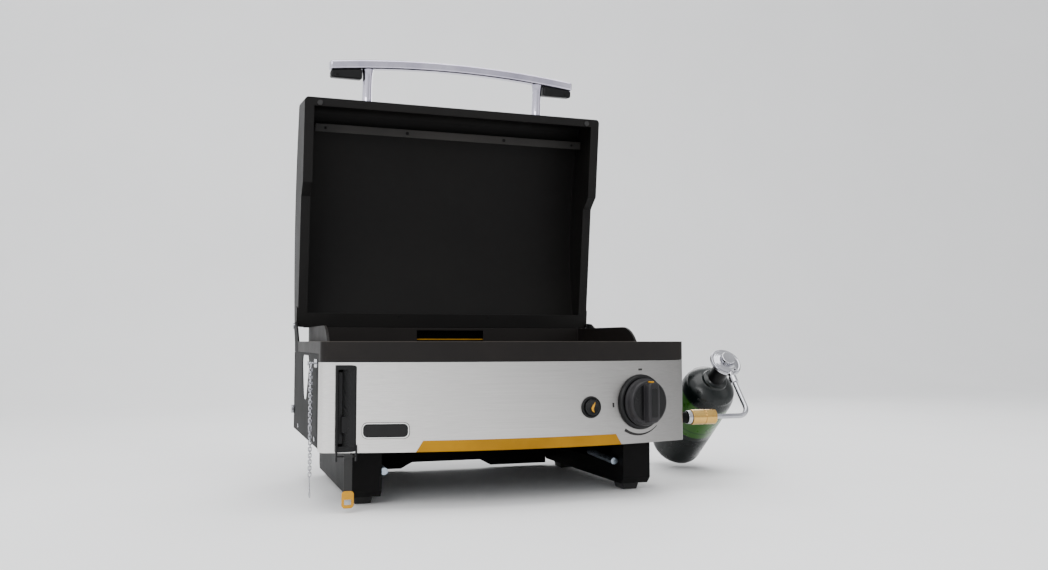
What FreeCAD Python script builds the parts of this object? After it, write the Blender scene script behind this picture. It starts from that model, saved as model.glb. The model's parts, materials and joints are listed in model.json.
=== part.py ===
import FreeCAD, Part

import math
import os

# Portable propane griddle with a hinged hood, regulator and gas cylinder.
# Working frame: x = 0 on the middle plane, y = 0 at the front corners of the body, z = 0 on the floor.
# At the end everything is moved so that the origin is the bottom centre of the whole bounding box.

V = FreeCAD.Vector
X, Y, Z = V(1, 0, 0), V(0, 1, 0), V(0, 0, 1)

# ---- driving dimensions, mm and degrees ----
BODY_W = 576.0          # width of the body
BODY_D = 390.0          # depth from the front corners to the rear
BOW = 44.0              # how far the bowed front stands out at its middle
CORNER_R = 14.0         # rounded vertical front corners
LEG_T = 1.6              # leg sheet
TOP_Z = 240.0           # top of the griddle band
BAND_H = 29.4           # height of the griddle band at the front
SIDE_BAND_Z = 222.0     # lower edge of the band on the sides and rear
PANEL_BOTTOM = 83.0     # lower edge of the panels
STRIP_TOP = 99.0         # top of the painted strip on the lower edge of the front
PANEL_T = 1.5           # panel sheet
WRAP = 26.0             # how far the front panel wraps onto the sides
SPLASH_Z = 265.5        # top of the splash walls
BOX_HALF = 256.0        # half width of the burner box
LEG_OUT, LEG_IN = 241.0, 194.0
LEG_FRONT, LEG_REAR = 31.0, 396.0
RAIL_Z0, RAIL_Z1 = 12.0, 42.0
UPRIGHT_D = 46.0
FOOT_Y = (72.0, 352.0)
KNOB_X, KNOB_Z = 198.7, 146.4
IGNITER_X, IGNITER_Z = 109.5, 141.0
LATCH_X = -253.2        # middle of the latch housing
LATCH_W = 30.4
LATCH_Z0, LATCH_Z1 = 84.5, 206.5
TAB_X = -250.5           # middle of the pull tab
HINGE_Y, HINGE_Z = 398.5, 267.7
OPEN_ANGLE = 83.0       # hood angle when it is open, from closed
LID_HALF = 282.5
LID_L = 413.0           # hood length from the rear edge to the front wall
LID_T = 1.5
LID_REAR_Y, LID_RIM_Z = 400.0, 266.0   # rear lower edge of the closed hood
LID_STEP = 23.0         # how much deeper the front part of the skirt is
HANDLE_HALF = 236.0
HANDLE_SAG = 14.0
POST_X = 166.0
FITTING_Y, FITTING_Z = 42.0, 114.7
CYL_X = 434.0           # gas cylinder axis
DISC_Y, DISC_Z = 116.0, 203.0   # middle of the regulator disc
CYL_TILT = 40.0         # cylinder axis above the horizontal, top end towards the front
CYL_R = 49.2
FIT_GAP = 0.05          # radial clearance of pins and stems
BODY_GAP = 0.4          # space between pieces that move apart

BOW_R = BODY_W ** 2 / (8 * BOW) + BOW / 2
HALF = BODY_W / 2
BAND_Z = TOP_Z - BAND_H

nodes = {}


def add(name, *shapes):
    """Keep one node made of one or more separate solids."""
    solids = [solid for shape in shapes for solid in shape.Solids]
    nodes[name] = solids[0] if len(solids) == 1 else Part.makeCompound(solids)


def box(x0, x1, y0, y1, z0, z1):
    return Part.makeBox(x1 - x0, y1 - y0, z1 - z0, V(x0, y0, z0))


def rod(start, end, radius):
    start, end = V(*start), V(*end)
    return Part.makeCylinder(radius, (end - start).Length, start, end - start)


def ring(start, end, outer, inner):
    return rod(start, end, outer).cut(rod(start, end, inner))


def prism_yz(points, x0, x1):
    """Extrude a closed outline in the YZ plane from x0 to x1."""
    wire = Part.makePolygon([V(x0, y, z) for y, z in points + points[:1]])
    return Part.Face(wire).extrude(V(x1 - x0, 0, 0))


def rounded_prism_yz(points, x0, x1, radius):
    """As prism_yz, with every edge along x rounded."""
    solid = prism_yz(points, x0, x1)
    edges = [e for e in solid.Edges if abs(e.BoundBox.XLength - abs(x1 - x0)) < 0.01]
    return solid.makeFillet(radius, edges)


def front_y(x, inset=0.0):
    """y of the bowed front at x."""
    radius = BOW_R - inset
    return BOW_R - BOW - math.sqrt(radius ** 2 - x ** 2)


def front_frame(x):
    """Outward normal of the bowed front at x, and the point there without its height."""
    normal = V(x / BOW_R, -math.sqrt(1 - (x / BOW_R) ** 2), 0)
    return normal, V(x, front_y(x), 0)


def bowed_prism(inset, y_rear, z0, z1, corner):
    """Prism with the bowed front outline, drawn in by inset."""
    half = HALF - inset
    y_side = front_y(half, inset)
    arc = Part.Arc(V(-half, y_side, z0), V(0, front_y(0, inset), z0), V(half, y_side, z0)).toShape()
    lines = [
        Part.makeLine(V(half, y_side, z0), V(half, y_rear, z0)),
        Part.makeLine(V(half, y_rear, z0), V(-half, y_rear, z0)),
        Part.makeLine(V(-half, y_rear, z0), V(-half, y_side, z0)),
    ]
    solid = Part.Face(Part.Wire([arc] + lines)).extrude(V(0, 0, z1 - z0))
    edges = [e for e in solid.Edges
             if abs(e.BoundBox.ZLength - (z1 - z0)) < 0.01 and abs(e.BoundBox.Center.y - y_side) < 1
             and e.BoundBox.XLength < 0.01]
    return solid.makeFillet(corner, edges)


def lid_place(shape):
    """Turn a hood piece drawn closed to the open pose, about the hinge pins."""
    shape = shape.copy()
    shape.rotate(V(0, HINGE_Y, HINGE_Z), X, -OPEN_ANGLE)
    return shape


def lid_point(u, v):
    """Closed hood: u forwards from the rear edge, v up from the rear rim."""
    return LID_REAR_Y - u, LID_RIM_Z + v



def mirror_pair(shape):
    return shape, shape.mirror(V(0, 0, 0), X)


# ---- body panels ----
def make_front_panel():
    shell = bowed_prism(0, WRAP, PANEL_BOTTOM, BAND_Z - BODY_GAP, CORNER_R)
    shell = shell.cut(bowed_prism(PANEL_T, WRAP + 1, PANEL_BOTTOM - 1, BAND_Z + 1, CORNER_R - PANEL_T))
    for x, z, radius in ((KNOB_X, KNOB_Z, 12.0), (IGNITER_X, IGNITER_Z, 13.5)):
        normal, point = front_frame(x)
        centre = point + V(0, 0, z)
        shell = shell.cut(Part.makeCylinder(radius, 20, centre + normal * 10, normal * -1))
    half = LATCH_W / 2 - 2
    window = box(LATCH_X - half, LATCH_X + half, -30, 12, LATCH_Z0 + 2, LATCH_Z1 - 2)
    add("front_panel", shell.cut(window))


def make_side_panels():
    outline = [(138, 218), (256, 218), (230, 147), (190, 147)]
    for side, name in ((-1, "left_side_panel"), (1, "right_side_panel")):
        x0, x1 = (-HALF, -HALF + PANEL_T) if side < 0 else (HALF - PANEL_T, HALF)
        flange = (x0, x0 + 10) if side < 0 else (x1 - 10, x1)
        panel = box(x0, x1, WRAP + 0.1, BODY_D, 86, SIDE_BAND_Z - BODY_GAP)
        panel = panel.fuse(box(*flange, BODY_D - PANEL_T, BODY_D, 86, SIDE_BAND_Z - BODY_GAP))
        panel = panel.fuse(box(*flange, WRAP + 0.1, BODY_D, 86, 86 + PANEL_T))
        panel = panel.cut(rounded_prism_yz(outline, x0 - 1, x1 + 1, 15))
        panel = panel.cut(box(x0 - 1, x1 + 1, 0, BODY_D, BAND_Z + 9, SIDE_BAND_Z).common(
            box(x0 - 1, x1 + 1, 0, WRAP, 0, 300)))
        if side > 0:
            panel = panel.cut(rod((x0 - 1, FITTING_Y, FITTING_Z), (x1 + 1, FITTING_Y, FITTING_Z), 9.2))
        add(name, panel.removeSplitter())


def make_rear_panel():
    panel = box(-HALF + 10.1, HALF - 10.1, BODY_D - PANEL_T, BODY_D, 86, SIDE_BAND_Z - BODY_GAP)
    for side in (-1, 1):
        x0, x1 = sorted((side * 261, side * 275))
        slot = box(x0, x1, BODY_D - 3, BODY_D + 1, 134, 216)
        panel = panel.cut(slot.makeFillet(5, [e for e in slot.Edges if e.BoundBox.YLength > 3.9]))
    add("rear_panel", panel)


def make_burner_box():
    outer = box(-BOX_HALF, BOX_HALF, 36, BODY_D - PANEL_T, 88, 212)
    inner = box(-BOX_HALF + 1.2, BOX_HALF - 1.2, 37.2, BODY_D - PANEL_T - 1.2, 89.2, 213)
    shell = outer.cut(inner)
    shell = shell.cut(box(-BOX_HALF + 30, BOX_HALF - 30, 120, 280, 87, 90))
    shell = shell.cut(box(KNOB_X - 30, KNOB_X + 14, 30, 40, KNOB_Z - 20, KNOB_Z + 20))
    shell = shell.cut(box(104, 126, 30, 40, 140, 160))
    shell = shell.cut(rod((BOX_HALF - 5, FITTING_Y, FITTING_Z), (BOX_HALF + 5, FITTING_Y, FITTING_Z), 6))
    ties = [box(*sorted((side * BOX_HALF, side * (HALF - PANEL_T))), y, y + 12, 88, 89.2)
            for side in (-1, 1) for y in (60, 340)]
    add("burner_box", shell.fuse(ties).removeSplitter())
    posts = [box(sx * 236 - 9, sx * 236 + 9, y - 9, y + 9, 89.2, 225.6) for sx in (-1, 1) for y in (60, 360)]
    add("griddle_supports", *posts)


def make_griddle():
    band = bowed_prism(0, BODY_D, BAND_Z, TOP_Z, CORNER_R)
    band = band.cut(bowed_prism(4, BODY_D - 4, BAND_Z - 1, TOP_Z + 1, CORNER_R - 4))
    band = band.cut(box(-HALF - 1, HALF + 1, WRAP, BODY_D + 1, BAND_Z - 1, SIDE_BAND_Z))
    griddle = band.fuse(bowed_prism(2, BODY_D - 2, 226, 232, CORNER_R - 2))
    for x0, x1 in ((-264, -260), (260, 264)):
        start, end = V(x0, 119, TOP_Z - 6), V(x0, 176, SPLASH_Z)
        curve = Part.Arc(start, V(x0, 141, 256), end).toShape()
        corners = [end, V(x0, BODY_D - 2, SPLASH_Z), V(x0, BODY_D - 2, 230), V(x0, 119, 230), start]
        lines = [Part.makeLine(corners[i], corners[i + 1]) for i in range(4)]
        griddle = griddle.fuse(Part.Face(Part.Wire([curve] + lines)).extrude(V(x1 - x0, 0, 0)))
    rear = box(-264, 264, BODY_D - 6, BODY_D - 2, 230, SPLASH_Z)
    rear = rear.cut(box(-65, 65, BODY_D - 8, BODY_D, TOP_Z, SPLASH_Z - 5))
    griddle = griddle.fuse(rear)
    for side in (-1, 1):
        xs = sorted((side * 283.1, side * (HALF + 1)))
        griddle = griddle.cut(box(*xs, 327, BODY_D + 1, 200, TOP_Z + 1))
    add("griddle_plate", griddle.removeSplitter())


def make_tray():
    y0, y1 = BODY_D + 1, BODY_D + 62
    tray = box(-84, 84, y0, y1, 205, 243).cut(box(-82.5, 82.5, y0 + 1.5, y1 - 1.5, 206.5, 250))
    tray = tray.fuse([box(-84, 84, y1 - 1.5, y1, 205, 262), box(-84, 84, y1 - 1.5, y1 + 12, 260.5, 262)])
    add("grease_tray", tray.removeSplitter())
    add("grease_tray_strip", box(-66, 66, y0 + 1.5, y0 + 2.1, 232, 245))
    rails = [box(*sorted((side * 84.5, side * 94)), BODY_D, BODY_D + 60, 202, 203.5).fuse(
        [box(*sorted((side * 92.5, side * 94)), BODY_D, BODY_D + 60, 202, 221),
         box(*sorted((side * 72, side * 94)), BODY_D, BODY_D + 60, 202, 203.5)]) for side in (-1, 1)]
    add("grease_tray_rails", *[rail.removeSplitter() for rail in rails])


# ---- legs ----
def make_legs():
    feet = []
    for side, name in ((-1, "left_leg_frame"), (1, "right_leg_frame")):
        x0, x1 = sorted((side * LEG_IN, side * LEG_OUT))
        front, rear, top = LEG_FRONT, LEG_REAR, 86.0

        def loop(inset, rise):
            """Side view of the sled frame, drawn in by the sheet."""
            post = UPRIGHT_D - 2 * inset
            return [(front + inset, top + rise), (front + inset, RAIL_Z0 + 10), (front + 10, RAIL_Z0 + inset),
                    (rear - 8, RAIL_Z0 + inset), (rear - inset, RAIL_Z0 + 8), (rear - inset, top + rise),
                    (rear - inset - post, top + rise), (rear - inset - post, RAIL_Z1 - inset),
                    (front + inset + post, RAIL_Z1 - inset), (front + inset + post, top + rise)]
        frame = prism_yz(loop(0, 0), x0, x1).cut(prism_yz(loop(LEG_T, 1), x0 + LEG_T, x1 - LEG_T))
        frame = frame.fuse(box(x0, x1, front + UPRIGHT_D - 2, rear - UPRIGHT_D + 2, 80, top))
        web = sorted((side * (LEG_OUT - LEG_T), side * LEG_OUT))
        frame = frame.fuse(box(*web, front + UPRIGHT_D - 2, rear - UPRIGHT_D + 2, RAIL_Z1 - 2, top))
        add(name, frame.removeSplitter())
        middle = (x0 + x1) / 2
        for y in FOOT_Y:
            feet.append(Part.makeLoft([
                Part.makePolygon([V(middle + sx * w, y + sy * (w + 4), z)
                                  for sx, sy in ((-1, -1), (1, -1), (1, 1), (-1, 1), (-1, -1))])
                for w, z in ((12.0, 0.0), (14.5, RAIL_Z0))], True))
    add("rubber_feet", *feet)
    add("rear_leg_panel", prism_xz([(-LEG_IN, 4), (-92, 4), (-71, 15), (61, 15), (82, 4), (LEG_IN, 4),
                                    (LEG_IN, 86), (-LEG_IN, 86)], LEG_REAR - 5, LEG_REAR - 3.5))
    start, end = V(187, 50, 47), V(187, 152, 52)
    brace = Part.makeCylinder(5.5, (end - start).Length, start, end - start)
    pegs = [rod((187, y, z), (LEG_IN, y, z), 3) for y, z in ((54, 47.2), (70, 48))]
    add("leg_brace_rods", *mirror_pair(brace.fuse(pegs).removeSplitter()))


def prism_xz(points, y0, y1):
    wire = Part.makePolygon([V(x, y0, z) for x, z in points + points[:1]])
    return Part.Face(wire).extrude(V(0, y1 - y0, 0))


# ---- gas train inside ----
def make_burner():
    half, y0, y1, bend, z = 150.0, 95.0, 300.0, 45.0, 150.0
    corners = [(half, y0), (half, y1), (-half, y1), (-half, y0)]
    edges = []
    for index, (x, y) in enumerate(corners):
        px, py = corners[index - 1]
        nx, ny = corners[(index + 1) % 4]
        before, after = V(px - x, py - y, 0), V(nx - x, ny - y, 0)
        before.normalize()
        after.normalize()
        start, end = V(x, y, z) + before * bend, V(x, y, z) + after * bend
        centre = V(x, y, z) + (before + after) * bend
        mid = centre + (V(x, y, z) - centre).normalize() * bend
        edges.append((start, mid, end))
    wire_edges = []
    for index, (start, mid, end) in enumerate(edges):
        wire_edges.append(Part.Arc(start, mid, end).toShape())
        wire_edges.append(Part.makeLine(end, edges[(index + 1) % 4][0]))
    path = Part.Wire(wire_edges)
    begin = wire_edges[1].Vertexes[0].Point
    along = wire_edges[1].Vertexes[1].Point - begin
    section = Part.Wire(Part.makeCircle(12, begin, along))
    tube = path.makePipeShell([section], True, False)
    ports = [rod((x, y, z + 6), (x, y, z + 14), 1.0) for x in range(-90, 91, 30) for y in (y0, y1)]
    add("burner_tube", tube.cut(Part.makeCompound(ports)))
    normal, point = front_frame(KNOB_X)
    venturi = rod((120, 60, z), (120, 83.2, z), 10).cut(rod((120, 61.5, z), (120, 84, z), 8.5)).cut(
        rod((120, 59, z), (120, 62, z), 1.2))
    add("venturi_tube", venturi)
    brackets = [box(x - 8, x + 8, y - 20, y + 20, 89.2, 137.5) for x, y in ((-150, 200), (150, 200))]
    add("burner_brackets", *brackets)
    centre = point + V(0, 0, KNOB_Z)
    valve = Part.makeCylinder(11, 34, centre - normal * 6, normal * -1)
    valve = valve.fuse(box(KNOB_X - 18, KNOB_X + 4, 6, 30, KNOB_Z - 13, KNOB_Z + 13))
    valve = valve.cut(Part.makeCylinder(4 + FIT_GAP, 24, centre - normal * 0, normal * -1))
    outlet = box(114, KNOB_X - 18, 14, 24, z - 5, z + 5).fuse(box(114, 126, 14, 52, z - 5, z + 5))
    jet = rod((120, 52, z), (120, 60, z), 5).cut(rod((120, 51, z), (120, 61, z), 1))
    add("gas_valve", valve.fuse([outlet, jet]).removeSplitter().Solids[0])
    elbows = [(KNOB_X - 4, 20, KNOB_Z - 13), (KNOB_X - 4, 20, 112), (268, 20, 112),
              (268, FITTING_Y, FITTING_Z), (283, FITTING_Y, FITTING_Z)]
    pipe = rod(elbows[0], elbows[1], 4)
    for first, second in zip(elbows[1:], elbows[2:]):
        pipe = pipe.fuse([rod(first, second, 4), Part.makeSphere(4, V(*first))])
    add("inlet_pipe", pipe.removeSplitter())


def make_igniter():
    normal, point = front_frame(IGNITER_X)
    centre = point + V(0, 0, IGNITER_Z)
    collar = Part.makeCylinder(16.5, 3.0, centre + normal * 0.02, normal)
    barrel = Part.makeCylinder(13.2, 26, centre - normal * 24, normal)
    bore = Part.makeCylinder(12.6, 30, centre - normal * 21, normal)
    add("igniter_bezel", collar.fuse(barrel).cut(bore).removeSplitter().Solids[0])
    button = Part.makeCylinder(12.2, 14, centre - normal * 8, normal)
    front = [e for e in button.Edges if (e.BoundBox.Center - centre).dot(normal) > 5.5]
    add("igniter_button", button.makeFillet(1.5, front))
    add("igniter_module", Part.makeCylinder(9, 24, centre - normal * 24, normal * -1))
    electrode = rod((100, 118, 132), (100, 118, 172), 2.5).fuse(box(94, 106, 115, 121, 112, 132))
    add("igniter_electrode", electrode.fuse(box(94, 106, 106, 121, 112, 114)).removeSplitter())


# ---- controls ----
def make_knob():
    normal, point = front_frame(KNOB_X)
    centre = point + V(0, 0, KNOB_Z)
    bezel = Part.makeCone(42.5, 39, 7, centre - normal * 0.3, normal)
    bezel = bezel.cut(Part.makeCylinder(33, 20, centre + normal * 3, normal))
    bezel = bezel.cut(Part.makeCylinder(8, 20, centre - normal * 5, normal))
    bezel = bezel.cut(bowed_prism(0, WRAP, PANEL_BOTTOM, BAND_Z, CORNER_R))
    add("knob_bezel", bezel.Solids[0])
    skirt = Part.makeCylinder(37, 4, centre + normal * 7.6, normal)
    body = Part.makeCone(36, 34, 11, centre + normal * 11.6, normal)
    hub = Part.makeCylinder(14, 8, centre + normal * 3.6, normal)
    across = normal.cross(Z)
    grip = Part.makeBox(24, 62, 28, V(-12, -31, 0))
    place = FreeCAD.Placement(centre + normal * 8, FreeCAD.Rotation(across, Z, normal))
    grip = grip.makeFillet(5, [e for e in grip.Edges if e.BoundBox.ZLength > 20])
    grip.Placement = place
    knob = skirt.fuse([body, hub, grip])
    bore = Part.makeCylinder(4 + FIT_GAP, 24, centre - normal * 2, normal)
    add("control_knob", knob.cut(bore).removeSplitter().Solids[0])
    pointer = Part.makeBox(4, 17, 0.8, V(-2, 11, 28))
    pointer.Placement = place
    add("knob_pointer", pointer)
    add("valve_stem", Part.makeCylinder(4, 44, centre - normal * 22, normal))


def make_latch():
    x0, x1 = LATCH_X - LATCH_W / 2, LATCH_X + LATCH_W / 2
    y_face = front_y(LATCH_X) - 3.5
    frame = box(x0, x1, y_face, y_face + 26, LATCH_Z0, LATCH_Z1)
    frame = frame.cut(box(x0 + 3.8, x1 - 4.4, y_face - 1, y_face + 23, LATCH_Z0 + 8, LATCH_Z1 - 6.5))
    panel = bowed_prism(0, WRAP + 20, PANEL_BOTTOM, BAND_Z, CORNER_R)
    inner = box(x0 + 2, x1 - 2, y_face - 1, y_face + 40, LATCH_Z0 + 2, LATCH_Z1 - 2)
    add("latch_housing", frame.cut(panel.cut(inner)).Solids[0])
    pin_y, pin_z = y_face + 8, LATCH_Z0 + 16
    add("latch_pin", rod((x0 + 3.8, pin_y, pin_z), (x1 - 4.4, pin_y, pin_z), 1.5))
    lever = box(x0 + 4.6, x1 - 5.2, y_face + 5, y_face + 11, LATCH_Z0 + 11.5, LATCH_Z1 - 10)
    lever = lever.cut(box(x0 + 6.8, x1 - 8.6, y_face + 4, y_face + 7, LATCH_Z0 + 24.1, LATCH_Z0 + 52.3))
    lever = lever.fuse(box(x0 + 9, x1 - 10.8, y_face + 3, y_face + 8, LATCH_Z0 + 27, LATCH_Z0 + 49))
    lever = lever.cut(rod((x0, pin_y, pin_z), (x1, pin_y, pin_z), 1.5 + FIT_GAP))
    add("latch_lever", lever.removeSplitter().Solids[0])
    arms = [box(x, x + 2.5, y_face - 3, y_face, 72, LATCH_Z0 + 10).cut(panel) for x in (x0, x1 - 2.5)]
    pivot_y, pivot_z = y_face - 1.5, 79.0
    arms.append(rod((x0 + 2.5, pivot_y, pivot_z), (x1 - 2.5, pivot_y, pivot_z), 1.2))
    add("latch_guides", *arms)
    strap = box(TAB_X - 6, TAB_X + 6, pivot_y - 0.8, pivot_y + 0.8, 30, pivot_z - 2)
    eye = rod((TAB_X - 6, pivot_y, pivot_z), (TAB_X + 6, pivot_y, pivot_z), 2.8)
    strap = strap.fuse(eye).cut(rod((x0, pivot_y, pivot_z), (x1, pivot_y, pivot_z), 1.2 + FIT_GAP))
    add("pull_strap", strap.removeSplitter())
    tab = box(TAB_X - 8.5, TAB_X + 8.5, pivot_y - 1.6, pivot_y + 1.6, 7, 31)
    tab = tab.makeFillet(5, [e for e in tab.Edges if e.BoundBox.YLength > 3.1])
    tab = tab.cut(box(TAB_X - 5, TAB_X + 5, pivot_y - 4, pivot_y + 4, 11.5, 19))
    add("pull_tab", tab.cut(box(TAB_X - 6, TAB_X + 6, pivot_y - 0.8, pivot_y + 0.8, 30, 40)))


# ---- hood ----
def lid_outline(inset):
    """Closed side profile of the hood; the crown is one arc."""
    t = inset
    points = [(t, t), (238 + t, t), (262 + t, t - LID_STEP), (LID_L - t, t - LID_STEP),
              (LID_L - t, 66 - t), (394 - t, 84 - t)]
    rear_top, crown = (t, 66 - t), (190, 106 - t)

    def at(point):
        y, z = lid_point(*point)
        return V(0, y, z)
    edges = [Part.makeLine(at(points[i]), at(points[i + 1])) for i in range(4)]
    radius_mid = (LID_L - t - 5, 79 - t)
    edges.append(Part.Arc(at(points[4]), at(radius_mid), at(points[5])).toShape())
    edges.append(Part.Arc(at(points[5]), at(crown), at(rear_top)).toShape())
    edges.append(Part.makeLine(at(rear_top), at(points[0])))
    return Part.Wire(edges)


def lid_prism(inset, half):
    face = Part.Face(lid_outline(inset))
    face.translate(V(-half, 0, 0))
    return face.extrude(V(2 * half, 0, 0))


def lid_box(x0, x1, u0, u1, v0, v1):
    y1, z0 = lid_point(u0, v0)
    y0, z1 = lid_point(u1, v1)
    return box(x0, x1, y0, y1, z0, z1)


def make_lid():
    outer = lid_prism(0, LID_HALF)
    shell = outer.cut(lid_prism(LID_T, LID_HALF - LID_T))
    shell = shell.cut(lid_box(-265.8, 265.8, 26, 398, -40, 3))
    corner = 7.0
    y, z = lid_point(LID_L - corner, -40)
    for side in (-1, 1):
        x = side * (LID_HALF - corner)
        column = Part.makeCylinder(corner, 160, V(x, y, z), Z)
        hollow = Part.makeCylinder(corner - LID_T, 160, V(x, y, z), Z)
        square = box(*sorted((x, side * (LID_HALF + 1))), y - corner - 1, y, z, z + 160)
        shell = shell.cut(square.cut(column)).fuse(column.cut(hollow).common(square).common(outer))
        reach = sorted((side * (LID_HALF - 3), side * (LID_HALF + 1)))
        shell = shell.cut(rod((reach[0], HINGE_Y, HINGE_Z), (reach[1], HINGE_Y, HINGE_Z), 3.4))
    add("lid_shell", lid_place(shell.removeSplitter()))
    inside = lid_prism(LID_T, LID_HALF - LID_T)
    baffle = lid_box(-255, 276, 360, 375, 53, 54.2).fuse(lid_box(-255, 276, 373.8, 375, 53, 100))
    add("lid_baffle", lid_place(baffle.common(inside).removeSplitter()))
    y, z = lid_point(404, -LID_STEP)
    add("lid_bumpers", *[lid_place(rod((x, y, z), (x, y, z - 2.6), 4.5)) for x in (-256, 256)])
    screws = []
    for x in (-82, 112):
        y, z = lid_point(367.5, 53)
        screws.append(rod((x, y, z), (x, y, z - 1.5), 3.2))
    for x in (-97, 78):
        y, z = lid_point(22, 0)
        screws.append(rod((x, y, z), (x, y, z - 1.2), 2))
    for side in (-1, 1):
        y, z = lid_point(462, 11)
        screws.append(rod((side * 222, y, z), (side * 222, y, z - 1.0), 2.5))
    add("hood_screws", *[lid_place(s) for s in screws])
    leaves = []
    for side in (-1, 1):
        xs = sorted((side * LID_HALF, side * (LID_HALF + 2.2)))
        leaf = box(*xs, HINGE_Y - 34, HINGE_Y - 1, HINGE_Z, HINGE_Z + 26)
        leaf = leaf.fuse(rod((xs[0], HINGE_Y, HINGE_Z), (xs[1], HINGE_Y, HINGE_Z), 7))
        leaf = leaf.cut(rod((xs[0] - 1, HINGE_Y, HINGE_Z), (xs[1] + 1, HINGE_Y, HINGE_Z), 3 + FIT_GAP))
        leaves.append(lid_place(leaf.removeSplitter()))
    add("hinge_leaves", *leaves)
    make_handle()


def make_handle():
    v0, v1, outer_u, thick = 9.0, 35.0, 486.0, 17.0

    def edge_arc(u_end, half, z):
        y_end, _ = lid_point(u_end, 0)
        return Part.Arc(V(-half, y_end, z), V(0, y_end - HANDLE_SAG, z), V(half, y_end, z)).toShape()
    _, z0 = lid_point(0, v0)
    top, low = edge_arc(outer_u, HANDLE_HALF, z0), edge_arc(outer_u - thick, HANDLE_HALF, z0)
    ends = [Part.makeLine(top.Vertexes[i].Point, low.Vertexes[i].Point) for i in (0, 1)]
    wire = Part.Wire(Part.__sortEdges__([top, ends[1], low, ends[0]]))
    bar = Part.Face(wire).extrude(V(0, 0, v1 - v0))
    add("handle_bar", lid_place(bar))
    posts, grips = [], []
    for side in (-1, 1):
        yb, zb = lid_point(LID_L, 22)
        ye, _ = lid_point(487, 22)
        post = rod((side * POST_X, yb, zb), (side * POST_X, ye, zb), 9).cut(bar)
        posts.append(max(post.Solids, key=lambda solid: solid.Volume))
        grip = lid_box(*sorted((side * 177, side * 234)), 456, 478, v0 + 2, v1 - 2).cut(bar)
        grips.append(max(grip.Solids, key=lambda solid: solid.Volume))
    add("handle_posts", *[lid_place(p) for p in posts])
    add("handle_grips", *[lid_place(g) for g in grips])


def make_hinges():
    brackets, pins, bolts = [], [], []
    outline = [(331, SIDE_BAND_Z), (331, 240), (352, 262), (378, 274), (398, 275.6), (405.5, 270), (405, 262),
               (396, 250), (389, 240), (387, SIDE_BAND_Z)]
    foot = [(331, 190), (331, 224), (387, 224), (387, 190)]
    for side in (-1, 1):
        upper = sorted((side * (HALF - 2.8), side * HALF))
        lower = sorted((side * (HALF - 4.4), side * (HALF - PANEL_T)))
        plate = prism_yz(outline, *upper).fuse(prism_yz(foot, *lower))
        plate = plate.cut(rod((upper[0] - 1, HINGE_Y, HINGE_Z), (upper[1] + 1, HINGE_Y, HINGE_Z), 3))
        brackets.append(plate.removeSplitter())
        pin = rod((side * (LID_HALF + 0.4), HINGE_Y, HINGE_Z), (side * (HALF + 2.5), HINGE_Y, HINGE_Z), 3)
        head = rod((side * HALF, HINGE_Y, HINGE_Z), (side * (HALF + 2.5), HINGE_Y, HINGE_Z), 5.5)
        pins.append(pin.fuse(head).removeSplitter())
        bolts.append(rod((side * HALF, 378, 120), (side * (HALF + 6), 378, 120), 7.2))
    add("hinge_brackets", *brackets)
    add("hinge_pins", *pins)
    add("side_bolts", *bolts)


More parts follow.
